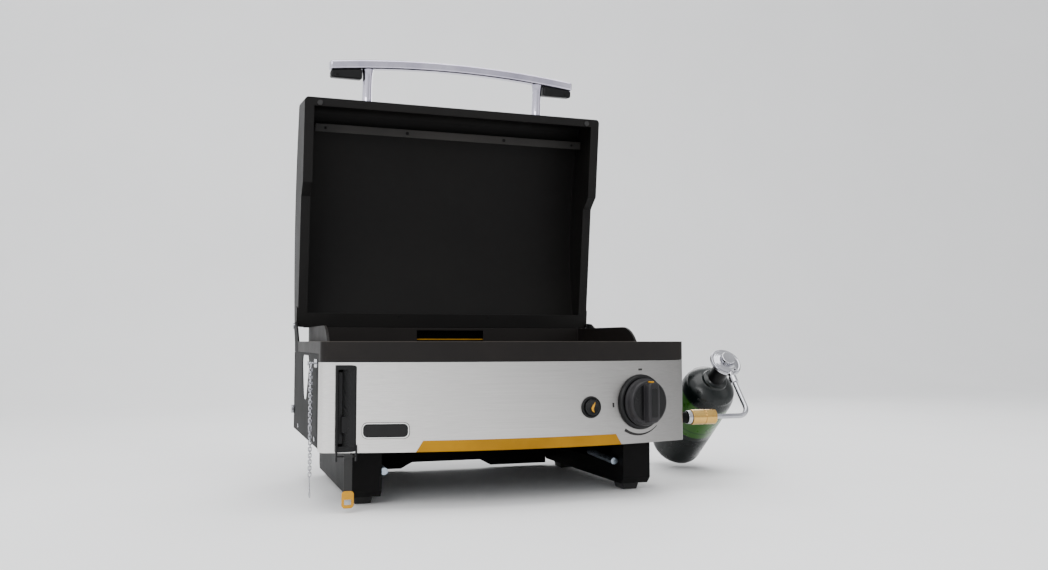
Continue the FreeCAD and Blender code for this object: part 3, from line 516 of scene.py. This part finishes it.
bm = bmesh.new()
for side in (-1, 1):
    lathe(bm, hood_at(side * 166, 413, 22), HOOD_UP,
          [(0, 0), (10.5, 0), (10.5, 1.6), (9.2, 3), (8.8, 12), (8.4, 34), (8.8, 50), (10.0, 60), (11.0, 65),
           (11.0, 70), (0, 70)], 48)
joined("handle_posts_flared", bm, MATS["chrome"], "hood", "handle_posts")

# gas cylinder, turned with its shoulder ring, dome bead and foot bead
bm = bmesh.new()
profile = [(0, -262), (30, -262), (34, -261.2), (37.5, -259.6), (43, -256), (46.6, -251.5), (48.6, -247),
           (49.2, -242), (49.2, -176), (49.0, -175), (49.2, -174), (49.2, -90), (48.9, -84), (48.0, -79),
           (46.2, -73.5), (44.4, -69.8), (44.9, -68.6), (44.2, -67.4), (42.0, -65.2), (38.0, -61.0),
           (33.0, -57.2), (27.0, -54.2), (24.0, -53.2), (22.5, -52.0), (22.2, -49.0), (21.0, -48.0),
           (11, -48), (11, -14), (0, -14)]
lathe(bm, DISC, BOTTLE_AXIS, profile, 128)
joined("gas_bottle", bm, bottle_mat, "bottle", "gas_cylinder")

# regulator: pressed disc with a rolled rim and two steps, and its arm
bm = bmesh.new()
lathe(bm, DISC, BOTTLE_AXIS, [(0, -6), (20, -6), (25, -5), (27.6, -3.6), (28.5, -2.4), (28.5, -1.4),
                              (27.2, -0.8), (26.9, 0.2), (27.6, 0.9), (27.2, 1.8), (25.6, 2.0), (24.6, 1.2),
                              (23.0, 1.0), (21.0, 2.4), (18.6, 3.6), (17.2, 3.4), (16.0, 4.2), (0, 4.2)], 96)
rise = Vector((0, math.sin(tilt), math.cos(tilt)))
corner = at(434, 42, 114.7)
arm_start = corner + rise * ((DISC - corner).length - 28.5 * MM - 4 * MM)
lathe(bm, arm_start, rise, [(0, 0), (3.8, 0), (3.8, 3), (5.5, 5), (5.5, 9.5), (0, 9.5)], 40)
joined("regulator_disc", bm, MATS["pressed_chrome"], "base", "regulator_body")
bm = bmesh.new()
side = Vector((1, 0, 0))
face_up = side.cross(BOTTLE_AXIS) * -1
plate(bm, DISC + BOTTLE_AXIS * 3.2 * MM, side, face_up, BOTTLE_AXIS,
      [(8, -20), (11.6, -20), (9.8, -16.6)], 0.5)
joined("disc_triangle", bm, MATS["plastic"], "base", smooth=False)

# control knob: skirt with a rounded rim, a domed face and a tall rounded grip
knob_normal, knob_right = front_axes(KNOB_X)
knob_centre = at(KNOB_X, front_y(KNOB_X), KNOB_Z)
bm = bmesh.new()
steps = 144
knob_profile = [(0, 7.6), (34, 7.6), (36.6, 8.4), (37, 9.6), (37, 11.4), (36, 12.4), (35.2, 16), (34.2, 21.5),
                (32.6, 23.4), (30, 24.2), (14, 24.6), (0, 24.7)]
lathe(bm, knob_centre, knob_normal, knob_profile, steps)
grip = [(11.2 * math.copysign(abs(math.cos(a)) ** 0.45, math.cos(a)),
         31 * math.copysign(abs(math.sin(a)) ** 0.35, math.sin(a)))
        for a in (2 * math.pi * i / 64 for i in range(64))]
rows = []
for height, scale, pinch in ((20, 1.0, 1.08), (26, 0.995, 1.0), (31, 0.985, 0.95), (34.2, 0.965, 0.91),
                             (35.6, 0.92, 0.82), (36.0, 0.85, 0.7)):
    rows.append([bm.verts.new(knob_centre + MM * (knob_right * a * pinch + UP * b * scale
                                                  + knob_normal * height))
                 for a, b in grip])
for low, high in zip(rows, rows[1:]):
    for i in range(64):
        j = (i + 1) % 64
        bm.faces.new((low[i], low[j], high[j], high[i]))
bm.faces.new(rows[-1])
bm.faces.new(rows[0][::-1])
joined("knob_with_grip", bm, MATS["knob_grey"], "knob", "control_knob")
bm = bmesh.new()
plate(bm, knob_centre + UP * 30.6 * MM, knob_right, knob_normal, UP,
      [(-3.0, 12), (-3.6, 20), (-2.4, 31), (2.4, 31), (3.6, 20), (3.0, 12)], 2.2)
joined("knob_pointer_mark", bm, MATS["yellow_plastic"], "knob", "knob_pointer", False)
bm = bmesh.new()
plate(bm, knob_centre + knob_normal * 35.7 * MM, knob_right, UP, knob_normal,
      [(-5.6, -20), (-4.6, -22), (4.6, -22), (5.6, -20), (5.6, 20), (4.6, 22), (-4.6, 22), (-5.6, 20)], 0.7)
for sign in (-1, 1):
    moon = [(sign * 13.4, 27.2 * k) for k in (-1, 1)]
    arc = [(sign * 30.6 * math.cos(a), 30.6 * math.sin(a)) for a in
           (math.radians(62 - 124 * i / 24) for i in range(25))]
    plate(bm, knob_centre + knob_normal * KNOB_FACE * MM, knob_right, UP, knob_normal, moon + arc, 0.9)
joined("knob_insets", bm, MATS["gloss_plastic"], "knob", smooth=False)

# knob bezel: a dished ring
bm = bmesh.new()
lathe(bm, knob_centre, knob_normal,
      [(42.5, -3.0), (42.5, 2.0), (41.8, 4.2), (40.2, 6.2), (38.8, 6.9), (36, 6.9), (34.4, 6.2), (33.2, 4.4),
       (33, 3), (9, 3), (9, -3.0)], 128)
joined("knob_bezel_ring", bm, MATS["plastic"], "base", "knob_bezel")

# setting marks printed on the front round the knob: a wedge that widens, and a dash at the left and the top
bm = bmesh.new()


def print_arc(start, end, inner, outer_start, outer_end, pieces):
    """A printed arc that widens, between two angles clockwise from the top, laid on the bowed front."""
    for i in range(pieces):
        quad = []
        for share, rim in ((i / pieces, 0), (i / pieces, 1), ((i + 1) / pieces, 1), ((i + 1) / pieces, 0)):
            a = math.radians(start + (end - start) * share)
            reach = (outer_start + (outer_end - outer_start) * share) if rim else inner
            x = KNOB_X + reach * math.sin(a)
            normal = front_axes(x)[0]
            foot = at(x, front_y(x), KNOB_Z + reach * math.cos(a))
            quad.append((bm.verts.new(foot - normal * 0.3 * MM), bm.verts.new(foot + normal * 0.18 * MM)))
        bm.faces.new([pair[1] for pair in quad])
        bm.faces.new([pair[0] for pair in quad][::-1])
        for j in range(4):
            k = (j + 1) % 4
            bm.faces.new((quad[j][0], quad[k][0], quad[k][1], quad[j][1]))


print_arc(140, 215, 48.6, 49.4, 53.4, 15)
print_arc(262, 270, 48.6, 51.6, 51.6, 2)
print_arc(-4, 4, 48.6, 51.6, 51.6, 2)
joined("knob_marks", bm, MATS["dark_mark"], "base", smooth=False)
# painted highlight: a small white mark on the knob face beside the pointer, standing in for light caught on
# the knob
bm = bmesh.new()
plate(bm, knob_centre + (knob_right * 6.4 + UP * 26.6 + knob_normal * KNOB_FACE) * MM, knob_right, UP,
      knob_normal, [(-1.2, -2.6), (1.2, -2.6), (1.2, 2.6), (-1.2, 2.6)], 1.1)
joined("knob_painted_highlight", bm, MATS["white_mark_and_highlight"], "knob", smooth=False)

# igniter button with a dished face and a small flame mark
ign_normal, ign_right = front_axes(IGNITER_X)
ign_centre = at(IGNITER_X, front_y(IGNITER_X), IGNITER_Z)
bm = bmesh.new()
lathe(bm, ign_centre, ign_normal, [(0, -8), (12.2, -8), (12.2, 4.6), (11.6, 5.6), (10.6, 5.9), (9.4, 5.3),
                                   (0, 5.0)], 64)
joined("igniter_cap", bm, MATS["gloss_plastic"], "igniter", "igniter_button")
bm = bmesh.new()
flame = [(4.4, 8.6), (4.2, 4.0), (2.6, 0.4), (1.8, -3.0), (3.2, -8.4), (-1.2, -5.0), (-2.2, -1.2), (0.2, 3.2),
         (2.6, 5.6)]
plate(bm, ign_centre + ign_normal * 4.9 * MM, ign_right, UP, ign_normal, flame, 0.5)
joined("flame_mark", bm, MATS["yellow_plastic"], "igniter", smooth=False)
bm = bmesh.new()
lathe(bm, ign_centre, ign_normal,
      [(12.6, -21), (12.6, 2.2), (13.2, 3.0), (15.2, 3.0), (16.3, 2.2), (16.5, 0.8), (16.5, -0.2),
       (13.2, -0.4), (13.2, -21)], 64)
joined("igniter_collar", bm, MATS["plastic"], "base", "igniter_bezel")

# badge: light rim round the blank rounded plate, bent to the bowed front
bm = bmesh.new()
rim = []
for corner_x, corner_z, first in ((24.4, 3.0, 0), (-24.4, 3.0, 90), (-24.4, -3.0, 180), (24.4, -3.0, 270)):
    for i in range(10):
        a = math.radians(first + 10 * i)
        x = BADGE_X + corner_x + BADGE_CORNER * math.cos(a)
        normal = front_axes(x)[0]
        rim.append(at(x, front_y(x), BADGE_Z + corner_z + BADGE_CORNER * math.sin(a)) + normal * 1.25 * MM)
tube(bm, rim, 0.8, True, 10)
joined("badge_rim", bm, MATS["white_mark_and_highlight"], "base")

# rivets on the hood baffle
bm = bmesh.new()
for x in (-236, 256):
    lathe(bm, hood_at(x, 367.5, 53.2), -HOOD_OUT, [(0, 0), (2.6, 0), (2.4, 0.7), (1.5, 1.2), (0, 1.35)], 20)
joined("baffle_rivets", bm, MATS["hood"], "hood")

# folded hem along the rear edge of the hood
bm = bmesh.new()
tube(bm, [hood_at(-272 + 544 * i / 40, 0.2, 3.4) for i in range(41)], 1.7, False, 12)
joined("rear_flange_hem", bm, MATS["hood"], "hood")


# match holder chain: a doubled length under its ring, then a single one, and a bent wire clip at the end
def oval_link(bm, centre, across, length=7.0, width=4.2, wire=0.75):
    """One chain link hanging along z, its flat side facing square to across."""
    points = []
    for i in range(16):
        a = 2 * math.pi * i / 16
        lift = (length - width) / 2 * (1 if math.sin(a) >= 0 else -1)
        rise_here = math.sin(a) * width / 2 + lift
        points.append(centre + (across * math.cos(a) * width / 2 + UP * rise_here) * MM)
    tube(bm, points, wire, True, 6)


bm = bmesh.new()
SIDE, BACK = Vector((1, 0, 0)), Vector((0, 1, 0))
tube(bm, [at(CHAIN_X, CHAIN_Y + 5.0 * math.cos(a), 204.6 + 5.0 * math.sin(a)) for a in
          (2 * math.pi * i / 24 for i in range(24))], 0.9, True, 8)
for strand in (-2.3, 2.3):
    for i in range(19):
        oval_link(bm, at(CHAIN_X, CHAIN_Y + strand, 197.4 - 4.6 * i), BACK if i % 2 else SIDE)
for i in range(15):
    oval_link(bm, at(CHAIN_X, CHAIN_Y, 110.2 - 4.6 * i), BACK if i % 2 else SIDE)
joined("chain_links", bm, MATS["wire"], "chain", "match_chain")
bm = bmesh.new()
hook = [(0, 43.4), (0.4, 40), (1.4, 36), (2.6, 31), (2.0, 26), (-0.8, 22.6), (-4.2, 21.0), (-6.6, 18.2),
        (-6.0, 14.6), (-2.6, 13.2), (1.8, 14.4), (3.4, 17.6), (2.2, 20.8), (-1.2, 21.8)]
tube(bm, [at(CHAIN_X, CHAIN_Y + a, b) for a, b in hook], 0.8, False, 8)
joined("chain_clip", bm, MATS["wire"], "chain", "match_holder")


# ---------------------------------------------------------------- camera, floor, light
camera_data = bpy.data.cameras.new("camera")
camera_data.lens = 32.48
camera_data.sensor_width = 36
camera = bpy.data.objects.new("camera", camera_data)
camera.location = at(-450.7, -1361.1, 240.0)
camera.rotation_euler = (math.radians(93.413), 0, math.radians(-18.913))
bpy.context.collection.objects.link(camera)
bpy.context.scene.camera = camera


def make_floor():
    n = Nodes("studio_floor")
    vector = n.coords()
    broad = n.noise(vector, 3, 3.0)
    n.set("Base Color", n.ramp(broad, [(0.3, srgb(248, 248, 248)), (0.7, srgb(251, 251, 251))]))
    n.set("Roughness", 0.7)
    n.set("Specular IOR Level", 0.2)
    n.bump(n.noise(vector, 300, 3.0), 0.03, 0.0003)
    bm = bmesh.new()
    profile = [(-4.0, 0.0)]
    back, radius = 3.2, 1.2
    for step in range(17):
        angle = math.pi / 2 * step / 16
        profile.append((back - radius + radius * math.sin(angle), radius - radius * math.cos(angle)))
    profile.append((back, 5.0))
    rows = [[bm.verts.new((x, y, z)) for y, z in profile] for x in (-6, 6)]
    for i in range(len(profile) - 1):
        bm.faces.new((rows[0][i], rows[1][i], rows[1][i + 1], rows[0][i + 1]))
    mesh = bpy.data.meshes.new("studio_sweep")
    bm.to_mesh(mesh)
    bm.free()
    sweep = bpy.data.objects.new("studio_sweep", mesh)
    for face in mesh.polygons:
        face.use_smooth = True
    mesh.materials.append(n.mat)
    bpy.context.collection.objects.link(sweep)


def area(name, place, target, size, power, colour=(1, 1, 1)):
    data = bpy.data.lights.new(name, "AREA")
    data.shape, data.size, data.size_y = "RECTANGLE", size[0], size[1]
    data.energy, data.color = power, colour
    obj = bpy.data.objects.new(name, data)
    obj.location = place
    obj.rotation_euler = (Vector(target) - Vector(place)).to_track_quat("-Z", "Y").to_euler()
    bpy.context.collection.objects.link(obj)


make_floor()
area("key_soft", (-1.7, -1.9, 1.7), (0, 0, 0.25), (1.6, 1.4), 40)
area("fill_right", (2.3, -1.4, 1.1), (0, 0, 0.2), (1.2, 1.6), 6)
area("top_soft", (0.0, -0.3, 2.4), (0, 0, 0.2), (2.2, 1.6), 34)
area("rear_rim", (0.9, 1.9, 1.5), (0, 0, 0.4), (1.4, 0.8), 18)
world = bpy.data.worlds.new("studio")
world.use_nodes = True
background = world.node_tree.nodes["Background"]
sky = world.node_tree.nodes.new("ShaderNodeTexCoord")
parts = world.node_tree.nodes.new("ShaderNodeSeparateXYZ")
falloff = world.node_tree.nodes.new("ShaderNodeMapRange")
falloff.inputs["From Min"].default_value, falloff.inputs["From Max"].default_value = -0.6, 0.9
falloff.inputs["To Min"].default_value, falloff.inputs["To Max"].default_value = 1.5, 0.6
world.node_tree.links.new(sky.outputs["Generated"], parts.inputs[0])
world.node_tree.links.new(parts.outputs["X"], falloff.inputs["Value"])
world.node_tree.links.new(falloff.outputs[0], background.inputs[1])
background.inputs[0].default_value = (0.97, 0.98, 1.0, 1)
bpy.context.scene.world = world
